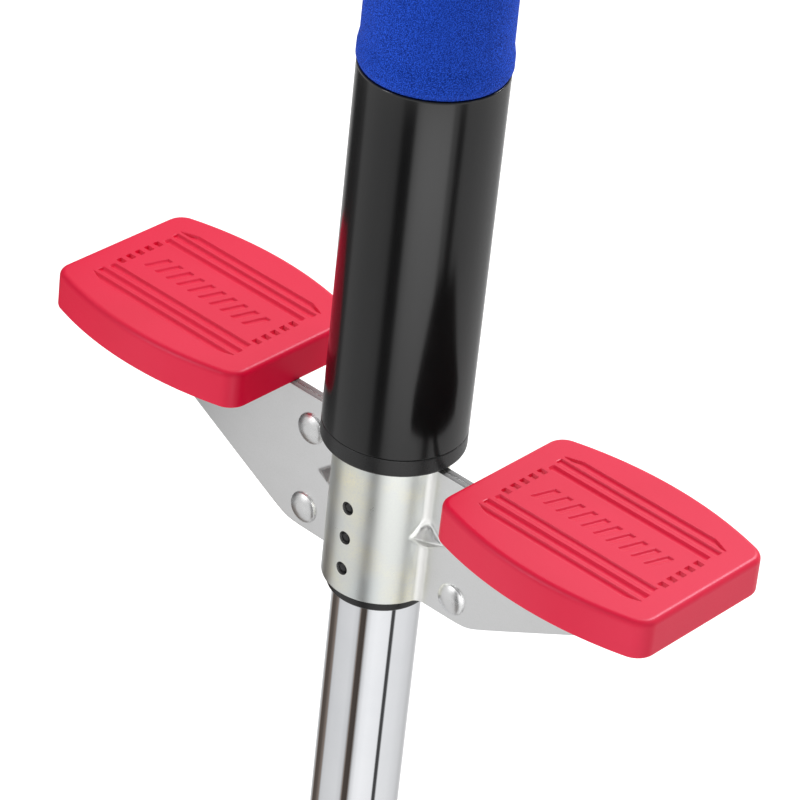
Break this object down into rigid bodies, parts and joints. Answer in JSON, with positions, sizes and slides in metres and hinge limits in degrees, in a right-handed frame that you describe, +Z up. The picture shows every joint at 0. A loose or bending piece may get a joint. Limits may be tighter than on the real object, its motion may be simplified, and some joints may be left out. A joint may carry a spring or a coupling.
{
  "type": "pogo stick",
  "caption": "Child's pogo stick: sprung chrome shaft in a foam-covered body tube, riveted plate bracket with moulded foot pedals, T handle and rubber tip.",
  "frame": {"origin": "on the ground under the centre of the rubber tip", "axes": "+Z up along the stick, +X towards the right pedal, -Y the front, where the three pegs are"},
  "size_m": [0.272, 0.0718, 0.93],
  "materials": {
    "chrome_plate": "polished",
    "zinc_plate": "satin",
    "rivet_steel": "satin",
    "body_steel": "satin",
    "spring_steel": "satin",
    "bolt_steel": "satin",
    "black_gloss_cover": "gloss",
    "black_moulding": "satin",
    "red_moulding": "satin",
    "blue_foam": "matte",
    "black_rubber": "matte"
  },
  "bodies": {
    "frame": {"main_spring": "spring_steel", "spring_upper_seat": "black_moulding", "spring_cross_pin": "bolt_steel", "body_tube": "body_steel", "lower_bush": "black_moulding", "rebound_bumper": "black_rubber", "bracket_front": "zinc_plate", "bracket_rear": "zinc_plate", "shroud_lower_ring": "black_moulding", "shroud_tube": "black_gloss_cover", "shroud_upper_spacer": "black_moulding", "foam_sleeve": "blue_foam", "foam_top_ring": "black_moulding", "handle_bar": "chrome_plate", "handle_bolt": "bolt_steel", "handle_nut": "bolt_steel", "top_cap": "black_moulding", "bush_peg_1": "black_moulding", "bush_peg_2": "black_moulding", "bush_peg_3": "black_moulding", "pedal_left": "red_moulding", "grip_left": "black_rubber", "grip_end_cap_left": "black_moulding", "rivet_left_upper": "rivet_steel", "rivet_left_lower": "rivet_steel", "pedal_screw_left_front": "bolt_steel", "pedal_screw_left_rear": "bolt_steel", "pedal_right": "red_moulding", "grip_right": "black_rubber", "grip_end_cap_right": "black_moulding", "rivet_right_upper": "rivet_steel", "rivet_right_lower": "rivet_steel", "pedal_screw_right_front": "bolt_steel", "pedal_screw_right_rear": "bolt_steel"},
    "spring_seat": {"spring_lower_seat": "bolt_steel"},
    "plunger": {"shaft": "chrome_plate", "rubber_tip": "black_rubber", "tip_washer": "bolt_steel", "shaft_top_plug": "black_moulding", "shaft_stop_ring": "bolt_steel"}
  },
  "joints": [
    {"name": "shaft_slide", "type": "slide", "parent": "frame", "child": "spring_seat", "axis": [0, 0, 1], "range_m": [0, 0.09], "stiffness_N_per_m": 6000, "springref_m": -0.01, "deforming": ["main_spring"]},
    {"name": "shaft_swivel", "type": "hinge", "parent": "spring_seat", "child": "plunger", "pos_m": [0, 0, 0.2], "axis": [0, 0, 1], "continuous": true}
  ]
}
